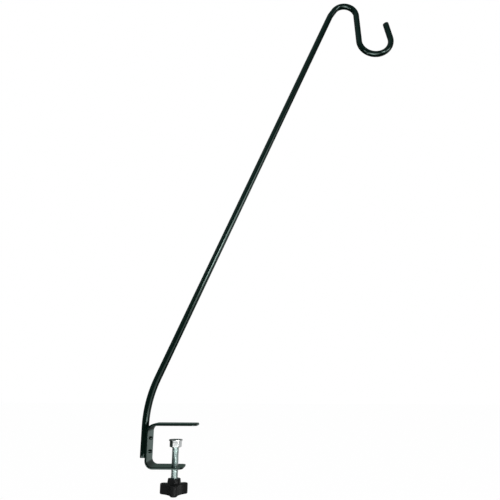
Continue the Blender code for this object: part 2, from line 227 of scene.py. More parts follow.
@dataclass(frozen=True)
class PowderCoat:
    """Black-green gloss powder coat: orange peel, a finer grain and a faint haze of dust."""

    name: str = "powder_coat_gloss"
    colour: Triple = (0.0005, 0.0054, 0.0034)
    haze: Triple = (0.0016, 0.0085, 0.0060)
    gloss_tint: Triple = (0.74, 1.0, 0.92)
    roughness: Span = (0.08, 0.13)
    rough_span: Span = (0.3, 0.75)
    peel: Grain = Grain(420.0, 1.5, 0.45)
    peel_depth: float = 0.010 * MM
    grain: Grain = Grain(5200.0, 2.0, 0.6)
    grain_depth: float = 0.0010 * MM
    patches: Grain = Grain(46.0, 5.0, 0.62)
    dust_span: Span = (0.46, 0.78)
    dust: float = 0.55
    specks: Specks = Specks(900.0, 0.16, 0.10)

    def build(self) -> bpy.types.Material:
        """Make the material: its dust lies in patches, which are also rougher.

        Returns:
            The material.
        """
        graph = Finish(self.name)
        patches = graph.noise(self.patches)
        dust = graph.mottle(patches, self.dust_span, self.dust, self.specks)
        peel = graph.bump(graph.noise(self.peel), self.peel_depth)
        return graph.finish(
            Base_Color=graph.blend(dust, self.colour, self.haze),
            Roughness=graph.remap(patches, self.rough_span, self.roughness),
            Specular_Tint=self.gloss_tint,
            Normal=graph.bump(graph.noise(self.grain), self.grain_depth, peel))


@dataclass(frozen=True)
class ZincPlate:
    """Bright zinc plate on steel: cool grey metal, cloudy, with fine lines from working it."""

    name: str = "zinc_plate_bright"
    colour: Triple = (0.90, 0.92, 0.92)
    shade: Triple = (0.76, 0.79, 0.79)
    roughness: Span = (0.34, 0.46)
    rough_span: Span = (0.3, 0.7)
    clouds: Grain = Grain(260.0, 4.0, 0.6)
    tarnish_span: Span = (0.42, 0.75)
    tarnish: float = 0.8
    specks: Specks = Specks(1400.0, 0.2, 0.2)
    lines: Grain = Grain(900.0, 3.0, 0.6)
    line_scale: Triple = (1.0, 1.0, 14.0)
    line_depth: float = 0.004 * MM

    def build(self) -> bpy.types.Material:
        """Make the material: its tarnish lies in clouds, which are also rougher.

        Returns:
            The material.
        """
        graph = Finish(self.name)
        clouds = graph.noise(self.clouds)
        tarnish = graph.mottle(clouds, self.tarnish_span, self.tarnish, self.specks)
        lines = graph.noise(self.lines, graph.stretched(self.line_scale))
        return graph.finish(
            Base_Color=graph.blend(tarnish, self.colour, self.shade),
            Roughness=graph.remap(clouds, self.rough_span, self.roughness),
            Metallic=1.0,
            Normal=graph.bump(lines, self.line_depth))


@dataclass(frozen=True)
class MouldedPlastic:
    """Smooth black moulded plastic: a faint flow pattern and hairline scuffs."""

    name: str = "moulded_black_plastic"
    colour: Triple = (0.013, 0.013, 0.0132)
    scuff: Triple = (0.050, 0.050, 0.051)
    roughness: Span = (0.22, 0.34)
    rough_span: Span = (0.3, 0.7)
    gloss: float = 0.13
    flow: Grain = Grain(120.0, 3.0, 0.55)
    flow_depth: float = 0.02 * MM
    fine: Grain = Grain(6400.0, 2.0, 0.6)
    fine_depth: float = 0.001 * MM
    hair: Grain = Grain(700.0, 2.0, 0.7)
    hair_scale: Triple = (6.0, 0.5, 1.0)
    hair_turn: Triple = (0.3, 0.8, 0.5)
    hair_span: Span = (0.66, 0.8)
    scuffed: float = 0.5

    def build(self) -> bpy.types.Material:
        """Make the material: the scuffs are the peaks of a noise that is stretched to hairs.

        Returns:
            The material.
        """
        graph = Finish(self.name)
        flow = graph.noise(self.flow)
        hair = graph.noise(self.hair, graph.stretched(self.hair_scale, self.hair_turn))
        scuffs = graph.remap(hair, self.hair_span, (0.0, self.scuffed))
        swell = graph.bump(flow, self.flow_depth)
        return graph.finish(
            Base_Color=graph.blend(scuffs, self.colour, self.scuff),
            Roughness=graph.remap(flow, self.rough_span, self.roughness),
            Specular_IOR_Level=self.gloss,
            Normal=graph.bump(graph.noise(self.fine), self.fine_depth, swell))


# Surfaces


def fused(name: str, grids: Sequence[np.ndarray], sharp: float = 38.0, merge: float = 1e-7
          ) -> bpy.types.Object:
    """Join grids of points into one closed, smooth shaded mesh.

    Each grid is an array of rows by columns by 3, and every cell between two rows and two
    columns is one four-sided face. Points that coincide are merged, which closes seams, joins
    neighbouring grids and turns a row of one repeated point into a pole.

    Args:
        name: The new object's name.
        grids: The grids, in metres.
        sharp: Angle in degrees past which an edge is shaded sharp.
        merge: Distance within which points are merged.

    Returns:
        The object, at the origin.
    """
    faces: list[np.ndarray] = []
    start = 0
    for grid in grids:
        rows, columns = grid.shape[:2]
        index = start + np.arange(rows * columns).reshape(rows, columns)
        quads = np.stack((index[:-1, :-1], index[:-1, 1:], index[1:, 1:], index[1:, :-1]), -1)
        faces.append(quads.reshape(-1, 4))
        start += rows * columns
    mesh = bpy.data.meshes.new(name)
    mesh.from_pydata(np.concatenate([grid.reshape(-1, 3) for grid in grids]).tolist(), [],
                     np.concatenate(faces).tolist())
    shape = bmesh.new()
    shape.from_mesh(mesh)
    bmesh.ops.remove_doubles(shape, verts=shape.verts, dist=merge)
    bmesh.ops.dissolve_degenerate(shape, edges=shape.edges, dist=merge)
    bmesh.ops.recalc_face_normals(shape, faces=shape.faces)
    shape.to_mesh(mesh)
    shape.free()
    mesh.shade_smooth()
    mesh.set_sharp_from_angle(angle=math.radians(sharp))
    piece = bpy.data.objects.new(name, mesh)
    bpy.context.scene.collection.objects.link(piece)
    return piece


def points(x: Numbers, y: Numbers, z: Numbers) -> np.ndarray:
    """Points whose three coordinates are spread over the same grid."""
    return np.stack(np.broadcast_arrays(x, y, z), -1)


def circle(sectors: int) -> np.ndarray:
    """Angles of a full circle, with its end on its start."""
    return np.linspace(0.0, TAU, sectors + 1)


def around(radius: np.ndarray, height: np.ndarray, angle: np.ndarray) -> np.ndarray:
    """Points (r cos t, r sin t, z) of radii r, heights z and angles t."""
    return points(radius * np.cos(angle), radius * np.sin(angle), height)


def ringed(rows: Sequence[Row], angle: np.ndarray) -> np.ndarray:
    """Put rows round the Z axis, each a radius and a height or one of them for each angle."""
    radii, heights = ([np.broadcast_to(part, angle.shape) for part in parts]
                      for parts in zip(*rows))
    return around(np.stack(radii), np.stack(heights), angle)


def lathe(profile: np.ndarray, sectors: int = 96) -> np.ndarray:
    """Turn a profile of radii and heights round the Z axis."""
    return around(profile[:, :1], profile[:, 1:], circle(sectors))


def arc(centre: Span, radius: float, start: float, end: float, steps: int) -> np.ndarray:
    """Points at the centre plus the radius times (cosine, sine) of even angles in degrees."""
    angle = np.radians(np.linspace(start, end, steps + 1))
    return np.stack((centre[0] + radius * np.cos(angle), centre[1] + radius * np.sin(angle)), -1)


def softened(corners: Sequence[Triple], steps: int = 4) -> np.ndarray:
    """Round the corners of an open profile.

    At a corner of radius r between two straights that turn by angle a, the arc starts and ends
    r tan(a / 2) away from it. It is drawn here as a quadratic curve through those two points
    with the corner as its control point, which lies close to the arc.

    Args:
        corners: Points (radius, height, corner radius), of which the two ends stay sharp.
        steps: Chords for each rounded corner.

    Returns:
        An array of points by 2.
    """
    spots = np.array([corner[:2] for corner in corners])
    pieces = [spots[:1]]
    share = np.linspace(0.0, 1.0, steps + 1)[:, None]
    for before, corner, after, entry in zip(spots, spots[1:], spots[2:], corners[1:]):
        if entry[2] <= 0.0:
            pieces.append(corner[None])
            continue
        back = (before - corner) / np.linalg.norm(before - corner)
        ahead = (after - corner) / np.linalg.norm(after - corner)
        half_turn = (math.pi - math.acos(float(np.clip(back @ ahead, -1.0, 1.0)))) / 2.0
        reach = entry[2] * math.tan(half_turn)
        first, last = corner + reach * back, corner + reach * ahead
        pieces.append((1 - share) ** 2 * first + 2 * share * (1 - share) * corner
                      + share ** 2 * last)
    return np.concatenate((*pieces, spots[-1:]))


def bored(piece: bpy.types.Object, cutters: Sequence[bpy.types.Object], sharp: float) -> None:
    """Cut holes in a piece's mesh and remove the cutters.

    Args:
        piece: The object that is cut.
        cutters: Closed objects to take away.
        sharp: Angle in degrees past which an edge is shaded sharp.
    """
    for cutter in cutters:
        modifier = piece.modifiers.new("Bore", "BOOLEAN")
        modifier.operation = "DIFFERENCE"
        modifier.solver = "EXACT"
        modifier.object = cutter
    bpy.context.view_layer.update()
    graph = bpy.context.evaluated_depsgraph_get()
    mesh = bpy.data.meshes.new_from_object(piece.evaluated_get(graph), depsgraph=graph)
    piece.modifiers.clear()
    mesh.shade_smooth()
    mesh.set_sharp_from_angle(angle=math.radians(sharp))
    piece.data = mesh
    for cutter in cutters:
        mesh = cutter.data
        bpy.data.objects.remove(cutter, do_unlink=True)
        bpy.data.meshes.remove(mesh)


# Pieces


class Part:
    """A piece: a closed mesh that stands for a CAD node and rides on that node's body."""

    name: str
    node: str
    body: Body = Body.HANGER
    slot: Slot = Slot.COAT
    sharp: float = 38.0

    def grids(self) -> list[np.ndarray]:
        """The piece's surface, as the grids that fused() joins."""
        raise NotImplementedError

    def shape(self) -> bpy.types.Object:
        """The piece's object, still without its finish."""
        return fused(self.name, self.grids(), self.sharp)

    def build(self, finish: bpy.types.Material) -> None:
        """Make the piece, dress it and report it.

        Args:
            finish: Its material.
        """
        piece = self.shape()
        piece.data.materials.clear()
        piece.data.materials.append(finish)
        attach(piece, self.body.value)
        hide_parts(self.node)
        log.info("%s: %d faces on %s", piece.name, len(piece.data.polygons), self.body.value)


@dataclass
class HookRod(Part):
    """The bent round bar: foot, long bend, run, neck, arch, leg, cradle and tip.

    Each stretch is a straight's length, and the radius and angle of the bend after it. The
    angle is in degrees, and positive where the bar turns towards +X from straight up.
    """

    name = "rod_round_bar"
    node = "hook_rod"

    radius: float = 6.35 * MM
    axis_x: float = -54.45 * MM
    foot_z: float = -52.8 * MM
    stretches: tuple[Triple, ...] = (
        (50.4 * MM, 203.0 * MM, 23.57),
        (848.0 * MM, 26.4 * MM, 10.5),
        (14.2 * MM, 26.4 * MM, 143.7),
        (66.4 * MM, 34.4 * MM, -189.4),
        (37.1 * MM, 0.0, 0.0),
    )
    flattening: float = 0.022
    tight_radius: float = 26.0 * MM
    easing: float = 0.2
    end_round: float = 0.8 * MM
    straight_chord: float = 9.0 * MM
    bend_chord: float = 2.0
    fewest_chords: int = 8
    end_chords: int = 5
    sides: int = 72

    def path(self) -> tuple[np.ndarray, np.ndarray, np.ndarray]:
        """Follow straights and arcs in the plane Y = 0.

        A straight moves along the heading h, measured from +Z towards +X. An arc of radius R
        turning right has its centre R to the right, at (cos h, -sin h) times R. The bar is
        flattened in full where R is tight and less where it is wide, and the flattening grows
        and fades over the easing angle, in radians, at the arc's ends.

        Returns:
            Positions (x, z), headings, and shares of the full flattening.
        """
        here, heading = np.array([self.axis_x, self.foot_z]), 0.0
        spots, ways, bends = [here[None]], [np.zeros(1)], [np.zeros(1)]
        for length, radius, degrees in self.stretches:
            count = max(1, round(length / self.straight_chord))
            step = np.linspace(0.0, length, count + 1)[1:, None]
            spots.append(here + step * np.array([math.sin(heading), math.cos(heading)]))
            ways.append(np.full(count, heading))
            bends.append(np.zeros(count))
            here = spots[-1][-1]
            if radius <= 0.0:
                continue
            turn, side = math.radians(degrees), math.copysign(radius, degrees)
            count = max(self.fewest_chords, round(abs(degrees) / self.bend_chord))
            turned = turn * np.linspace(0.0, 1.0, count + 1)[1:]
            way = heading + turned
            centre = here + side * np.array([math.cos(heading), -math.sin(heading)])
            spots.append(centre - side * np.stack((np.cos(way), -np.sin(way)), -1))
            ways.append(way)
            from_end = np.minimum(np.abs(turned), np.abs(turn - turned))
            full = min(1.0, self.tight_radius / radius)
            bends.append(full * np.clip(from_end / self.easing, 0.0, 1.0))
            here, heading = spots[-1][-1], heading + turn
        return np.concatenate(spots), np.concatenate(ways), np.concatenate(bends)

    def grids(self) -> list[np.ndarray]:
        """Carry the round section along the path and round both cut ends.

        The section's point at angle t is the path's point plus r cos t along the normal in the
        plane and r sin t along Y. In a bend the first term shrinks, as a bent bar flattens. At
        each end the section shrinks over a quarter circle of the end's rounding, then to the
        middle of the flat cut.

        Returns:
            The rod's one grid.
        """
        spots, ways, bends = self.path()
        quarter = np.linspace(math.pi / 2, 0.0, self.end_chords + 1)[:-1]
        flat = self.radius - self.end_round
        cap = np.concatenate(((0.0, flat / 2), flat + self.end_round * np.cos(quarter)))
        slide = np.concatenate((np.zeros(2), self.end_round * (1 - np.sin(quarter))))[:, None]
        ahead = np.stack((np.sin(ways), np.cos(ways)), -1)
        line = np.concatenate((spots[0] + slide * ahead[0], spots[1:-1],
                               spots[-1] - slide[::-1] * ahead[-1]))
        radii = np.concatenate((cap, np.full(len(spots) - 2, self.radius), cap[::-1]))[:, None]
        head = np.pad(ways[1:-1], len(cap), "edge")[:, None]
        flatten = np.pad(bends[1:-1], len(cap))[:, None]
        angle = circle(self.sides)
        across = radii * (1.0 - self.flattening * flatten) * np.cos(angle)
        return [points(line[:, :1] + across * np.cos(head), radii * np.sin(angle),
                       line[:, 1:] - across * np.sin(head))]


@dataclass
class ClampBracket(Part):
    """The flat bar bent to a C, with rounded jaw ends, the screw's hole and two weld holes."""

    name = "bracket_bent_bar"
    node = "clamp_bracket"
    sharp = 30.0

    width: float = 50.8 * MM
    thickness: float = 4.0 * MM
    web_back: float = HookRod.axis_x + HookRod.radius + 0.3 * MM
    throat: float = 64.7 * MM
    top_end: float = 37.9 * MM
    lower_end: float = 16.4 * MM
    inner_radius: float = 10.2 * MM
    corner: float = 10.0 * MM
    inner_edge: float = 0.5 * MM
    outer_edge: Span = (1.2 * MM, 3.0 * MM)
    camber: float = 0.25 * MM
    screw_hole: float = 6.3 * MM
    screw_chamfer: float = 0.6 * MM
    web_hole: float = 2.5 * MM
    web_chamfer: float = 0.35 * MM
    web_hole_z: Span = (-20.9 * MM, -42.4 * MM)
    overrun: float = 1.0 * MM
    merge: float = 1e-6
    inner_chords: int = 5
    outer_chords: int = 10
    corner_chords: int = 14
    body_rows: int = 130
    face_columns: int = 15
    hole_sectors: int = 64

    @property
    def middle(self) -> float:
        """Radius of the middle layer in the bends."""
        return self.inner_radius + self.thickness / 2

    @property
    def bend_x(self) -> float:
        """Place of both bends' centres along X."""
        return self.web_back + self.inner_radius + self.thickness

    @property
    def length(self) -> float:
        """Length of the middle layer."""
        straight = self.top_end + self.lower_end - 2 * self.bend_x
        return straight + self.throat - 2 * self.inner_radius + math.pi * self.middle

    def bent(self, grid: np.ndarray) -> np.ndarray:
        """Bend a grid of the flat bar round the C.

        A point at distance s along the middle layer, w across and n out of it lies on the top
        jaw while s is short, then on an arc of the middle radius plus n about the upper bend's
        centre, down the web, round the lower bend, and out along the lower jaw. The rolled
        bar's faces are slightly cambered: n shrinks with the square of w.

        Args:
            grid: Points (s, w, n), with s from the top jaw's end and n positive on the outside.

        Returns:
            The points in space.
        """
        along, across, out = np.moveaxis(grid, -1, 0)
        out = out * (1.0 - self.camber / (self.thickness / 2) * (across / (self.width / 2)) ** 2)
        upper_z, lower_z = -self.inner_radius, -self.throat + self.inner_radius
        quarter = self.middle * math.pi / 2
        first = self.top_end - self.bend_x
        second = first + quarter
        third = second + upper_z - lower_z
        fourth = third + quarter
        turn = (math.pi / 2 + np.clip((along - first) / self.middle, 0.0, math.pi / 2)
                + np.clip((along - third) / self.middle, 0.0, math.pi / 2))
        lift = np.clip(along - second, 0.0, third - second)
        reach = np.clip(first - along, 0.0, None) + np.clip(along - fourth, 0.0, None)
        return points(self.bend_x + reach + (self.middle + out) * np.cos(turn), across,
                      upper_z - lift + (self.middle + out) * np.sin(turn))

    def grids(self) -> list[np.ndarray]:
        """Lay out the bar over its flat length, then bend it.

        The section is a rectangle with a small round edge towards the throat and a long oval
        one on the C's outside, where the shears rolled it over. Its side lies a distance d
        inside the bar's outline. In the rounded corners of the ends, an outline point at angle
        a lies at (R - d) times (sin a, cos a) from the corner's centre, so the side keeps its
        distance from the outline all the way round.

        Returns:
            The body's grid and the two ends' grids.
        """
        half, inner = self.thickness / 2, self.inner_edge
        outer = arc((-1.0, -1.0), 1.0, 0.0, 90.0, self.outer_chords) * self.outer_edge
        side = np.concatenate((arc((-inner, inner - half), inner, -90.0, 0.0, self.inner_chords),
                               outer + (0.0, half)))
        inset, height = -side[:, 0], side[:, 1]
        turn = np.radians(np.linspace(90.0, 0.0, self.corner_chords + 1))[:, None]
        start_along = self.corner - (self.corner - inset) * np.sin(turn)
        start_across = self.width / 2 - self.corner + (self.corner - inset) * np.cos(turn)
        body_across = np.broadcast_to(self.width / 2 - inset, (self.body_rows, len(inset)))
        body_along = np.linspace(self.corner, self.length - self.corner, self.body_rows + 2)
        along = np.concatenate((
            start_along, np.broadcast_to(body_along[1:-1, None], body_across.shape),
            self.length - start_along[::-1]))
        across = np.concatenate((start_across, body_across, start_across[::-1]))
        share = np.linspace(1.0, -1.0, self.face_columns)
        top = points(along[:, -1:], across[:, -1:] * share, half)
        under = points(along[:, :1], across[:, :1] * -share, -half)
        far = points(along, across, height)
        near = points(along, -across, height)[:, ::-1]
        body = np.concatenate((far, top[:, 1:-1], near, under[:, 1:]), 1)
        ends = [points(along[row, :, None], across[row, :, None] * share, height[:, None])
                for row in (0, -1)]
        return [self.bent(grid) for grid in (body, *ends)]

    def hole_cutter(self, name: str, radius: float, chamfer: float, low: float
                    ) -> bpy.types.Object:
        """A drill with a chamfer where it meets each face of the bar.

        Args:
            name: The cutter's name.
            radius: The hole's radius.
            chamfer: Width of the chamfer.
            low: Height of the bar's lower face, before the cutter is turned.

        Returns:
            The cutter, upright on the Z axis.
        """
        high, over = low + self.thickness, self.overrun
        wide = radius + chamfer + over
        profile = np.array([(0.0, high + over), (wide, high + over), (radius, high - chamfer),
                            (radius, low + chamfer), (wide, low - over), (0.0, low - over)])
        return fused(name, [lathe(profile, self.hole_sectors)])

    def shape(self) -> bpy.types.Object:
        """Bend the bar and drill it.

        Returns:
            The bracket, still without its finish.
        """
        piece = fused(self.name, self.grids(), self.sharp, self.merge)
        cutters = [self.hole_cutter("screw_hole_cutter", self.screw_hole, self.screw_chamfer,
                                    -self.throat - self.thickness)]
        for index, height in enumerate(self.web_hole_z):
            cutter = self.hole_cutter(f"web_hole_cutter_{index}", self.web_hole,
                                      self.web_chamfer, 0.0)
            cutter.data.transform(Matrix.Translation((self.web_back, 0.0, height))
                                  @ Matrix.Rotation(math.pi / 2, 4, "Y"))
            cutters.append(cutter)
        bored(piece, cutters, self.sharp)
        return piece


@dataclass
class PlugWeld(Part):
    """A plug weld, which fills a hole of the web from the rod outwards to a proud crown."""

    sharp = 60.0

    name: str
    node: str
    level: float
    seed: int
    rod_x: float = HookRod.axis_x
    rod_room: float = HookRod.radius + 0.3 * MM
    face_x: float = ClampBracket.web_back + ClampBracket.thickness + 0.05 * MM
    radius: float = ClampBracket.web_hole - 0.3 * MM
    crown_radius: float = 2.9 * MM
    crown: float = 3.5 * MM
    lobes: int = 3
    lumps: float = 0.03
    off_centre: float = 0.25
    ripple: float = 0.07 * MM
    ripple_pitch: float = 0.75 * MM
    root_rows: int = 7
    crown_rows: int = 25
    sides: int = 72

    def grids(self) -> list[np.ndarray]:
        """The plug, with the rings of its weld pool round an off-centre crater.

        The root keeps clear of the rod's cylinder. The crown is a cushion: at share s of its
        radius it stands its height times the square root of one minus s to the fourth above
        the web's face, plus a ripple, the sine of the distance to the crater over the pitch.

        Returns:
            The plug's one grid, from the root's middle to the crown's.
        """
        chance = np.random.default_rng(self.seed)
        angle = circle(self.sides)
        inner = np.linspace(0.0, 1.0, self.root_rows)
        outer = np.sin(np.linspace(math.pi / 2, 0.0, self.crown_rows))
        share = np.concatenate((inner, inner[-1:], outer))[:, None]
        row = np.arange(len(share))[:, None]
        on_crown = row > self.root_rows
        lumps = self.lumps * np.sin(self.lobes * angle + chance.uniform(0.0, TAU)) * on_crown
        reach = np.where(on_crown, self.crown_radius, self.radius) * share * (1.0 + lumps)
        across, up = reach * np.cos(angle), reach * np.sin(angle)
        root = self.rod_x + np.sqrt(self.rod_room ** 2 - across ** 2)
        crater = chance.uniform(-self.off_centre, self.off_centre, 2) * self.crown_radius
        away = np.hypot(across - crater[0], up - crater[1]) / self.ripple_pitch
        cushion = np.sqrt(np.clip(1.0 - share ** 4, 0.0, 1.0))
        dome = cushion * (self.crown + self.ripple * (np.sin(TAU * away) - 1.0))
        depth = np.where(row < self.root_rows, root, self.face_x + dome * on_crown)
        return [points(depth, across, self.level + up)]


@dataclass
class ClampStud(Part):
    """The threaded stud with its turned-down end peened over the pad.

    The crest's and the root's widths and the marks, where the thread's grid has its rows, are
    shares of the pitch.
    """

    name = "stud_threaded"
    node = "clamp_stud"
    body = Body.SCREW
    slot = Slot.ZINC
    sharp = 50.0

    radius: float = 6.0 * MM
    pitch: float = 1.75 * MM
    crest: float = 1 / 8
    root: float = 1 / 4
    flank_angle: float = 30.0
    softness: float = 0.35
    marks: tuple[float, ...] = (-0.055, 0.0, 0.055, 0.10, 0.22, 0.34, 0.39, 0.5, 0.61, 0.66,
                                0.78, 0.90)
    lead: float = 1.5
    end_drop: float = 1.25 * MM
    end_slope: float = 1.1
    shoulder: float = -26.0 * MM
    foot: float = -100.8 * MM
    spigot: float = 3.0 * MM
    head_radius: float = 4.2 * MM
    head_foot: float = -23.9 * MM
    head_top: float = -22.9 * MM
    head_flat: float = 2.52 * MM
    head_dome: float = 1.2 * MM
    head_side: float = 0.45 * MM
    head_edge: float = 0.4 * MM
    head_tuck: float = 0.15 * MM
    fine_round: float = 0.1 * MM
    sides: int = 72

    def thread_depth(self, phase: np.ndarray) -> np.ndarray:
        """Depth of the thread under its crest at each share of the pitch.

        Between the crest and the root the flanks stand at twice the flank angle to each other.
        A smooth step on the flank rounds both ends of it, as rolling and plating do.

        Args:
            phase: Share of the pitch, 0 at the crest's middle.

        Returns:
            The depth in metres.
        """
        away = np.abs((phase + 0.5) % 1.0 - 0.5)
        width = (1.0 - self.crest - self.root) / 2
        flank = np.clip((away - self.crest / 2) / width, 0.0, 1.0)
        soft = flank * flank * (3.0 - 2.0 * flank)
        full = self.pitch * width / math.tan(math.radians(self.flank_angle))
        return full * (flank + self.softness * (soft - flank))

    def threaded(self) -> np.ndarray:
        """The right-hand thread from the foot's chamfer to the shoulder's.

        Rows follow the helix: at angle t the row of share f lies at pitch times (f + t / 2 pi),
        cut off at both ends, and the radius is the crest's less the thread's depth, or the
        chamfer cone's where that is smaller.

        Returns:
            The thread's grid, its last column one turn on from its first.
        """
        turns = math.ceil((self.shoulder - self.foot) / self.pitch) + 2
        share = (np.arange(turns)[:, None] + self.marks).reshape(-1, 1) - self.lead
        angle = circle(self.sides)
        height = np.clip(self.foot + self.pitch * (share + angle / TAU), self.foot,
                         self.shoulder)
        end = np.minimum(height - self.foot, self.shoulder - height)
        cone = self.radius - self.end_drop + end * self.end_slope
        return around(np.minimum(self.radius - self.thread_depth(share), cone), height, angle)

    def grids(self) -> list[np.ndarray]:
        """The thread, its flat foot, and the spigot with its peened head.

        Returns:
            The stud's three grids.
        """
        end = self.radius - self.end_drop
        foot = np.array([(end, self.foot), (end / 2, self.foot), (0.0, self.foot)])
        head = softened([
            (0.0, self.head_top, 0.0),
            (self.head_flat, self.head_top, self.head_dome),
            (self.head_radius, self.head_foot + self.head_side, self.head_edge),
            (self.head_radius - self.head_tuck, self.head_foot, self.fine_round),
            (self.spigot, self.head_foot, self.fine_round),
            (self.spigot, self.shoulder, 0.0),
            (end, self.shoulder, 0.0),
        ])
        return [self.threaded(), lathe(foot, self.sides), lathe(head, self.sides)]


@dataclass
class LockNut(Part):
    """Hex nut with chamfered faces and softly rounded corners.

    Chamfer rows are shares of the way from the face's circle to the hexagon. Edge rows are
    distances in from the hexagon and down from the chamfer, in sizes of the rounded edge.
    """

    name = "nut_hex"
    node = "lock_nut"
    body = Body.SCREW
    slot = Slot.ZINC
    sharp = 24.0

    across_flats: float = 18.0 * MM
    height: float = 11.0 * MM
    top: float = -24.5 * MM
    face_radius: float = 8.55 * MM
    face_drop: float = 0.02 * MM
    chamfer_angle: float = 30.0
    bore: float = ClampStud.radius + 0.02 * MM
    bore_chamfer: float = 0.65 * MM
    bore_rim: float = 0.25 * MM
    turn: float = math.radians(-81.0)
    edge: float = 0.16 * MM
    corner_power: float = 90.0
    chamfer_rows: tuple[float, ...] = (0.15, 0.4, 0.7)
    edge_rows: tuple[Span, ...] = ((0.9, 0.0), (0.3, 0.25), (0.05, 0.75), (0.0, 1.2))
    sides: int = 192

    def grids(self) -> list[np.ndarray]:
        """Make the nut as rows of a polar grid from the bore round its outside and back.

        The hexagon's radius at angle t is a high power mean of the six flats' distances, half
        the width across flats over the cosine to each flat's normal, which rounds its corners.
        Past the chamfered face's circle the height falls by the tangent of the chamfer's angle
        times the distance beyond it.

        Returns:
            The nut's one grid.
        """
        angle = circle(self.sides)
        flats = self.turn + np.arange(6)[:, None] * TAU / 6
        pull = np.clip(np.cos(angle - flats), 0.0, None) / (self.across_flats / 2)
        hexagon = (pull ** self.corner_power).sum(0) ** (-1 / self.corner_power)
        past = hexagon - self.face_radius
        slope, half = math.tan(math.radians(self.chamfer_angle)), self.height / 2
        rim = self.bore + self.bore_chamfer
        rows: list[Row] = [
            (self.bore, 0.0),
            (self.bore, half - self.bore_chamfer),
            (rim, half),
            (rim + self.bore_rim, half),
            (self.face_radius - self.edge, half),
            (self.face_radius, half - self.face_drop),
        ]
        for share in self.chamfer_rows:
            rows.append((self.face_radius + share * past, half - slope * share * past))
        for inset, drop in self.edge_rows:
            rise = self.edge * (slope * inset * (1 - drop) - drop)
            rows.append((hexagon - inset * self.edge, half - slope * past + rise))
        rows.append((hexagon, 0.0))
        rows += [(radius, -level) for radius, level in rows[-2::-1]]
        return [ringed(rows, angle) + (0.0, 0.0, self.top - half)]


@dataclass
class PressurePad(Part):
    """Pressed swivel pad: a shallow cup with a dimple for the stud's peened head."""

    name = "pad_pressed_cup"
    node = "pressure_pad"
    body = Body.PAD
    slot = Slot.ZINC
    sharp = 45.0

    face: float = -22.7 * MM
    radius: float = 11.55 * MM
    height: float = 2.4 * MM
    sheet: float = 1.5 * MM
    dimple_depth: float = 1.5 * MM
    dimple_top: float = 5.4 * MM
    dimple_floor: float = 4.6 * MM
    dimple_flare: float = 0.3 * MM
    hole: float = ClampStud.spigot + 0.25 * MM
    hole_round: float = 0.12 * MM
    dimple_round: float = 0.35 * MM
    rim_round: float = 0.8 * MM
    lip_round: float = 0.25 * MM
    inner_round: float = 0.2 * MM
    corner_chords: int = 6
    sides: int = 128

    def grids(self) -> list[np.ndarray]:
        """Turn the pad's section, with every pressed corner rounded.

        Returns:
            The pad's one grid.
        """
        face, under, lip = self.face, self.face - self.sheet, self.face - self.height
        floor = face - self.dimple_depth
        below, inner = floor - self.sheet, self.radius - self.sheet
        section = softened([
            (self.hole, floor - self.sheet / 2, 0.0),
            (self.hole, floor, self.hole_round),
            (self.dimple_floor, floor, self.dimple_round),
            (self.dimple_top, face, self.dimple_round),
            (self.radius, face, self.rim_round),
            (self.radius, lip, self.lip_round),
            (inner, lip, self.lip_round),
            (inner, under, self.inner_round),
            (self.dimple_top + self.dimple_flare, under, self.inner_round),
            (self.dimple_top, below, self.inner_round),
            (self.hole, below, self.hole_round),
            (self.hole, floor - self.sheet / 2, 0.0),
        ], self.corner_chords)
        return [lathe(section, self.sides)]


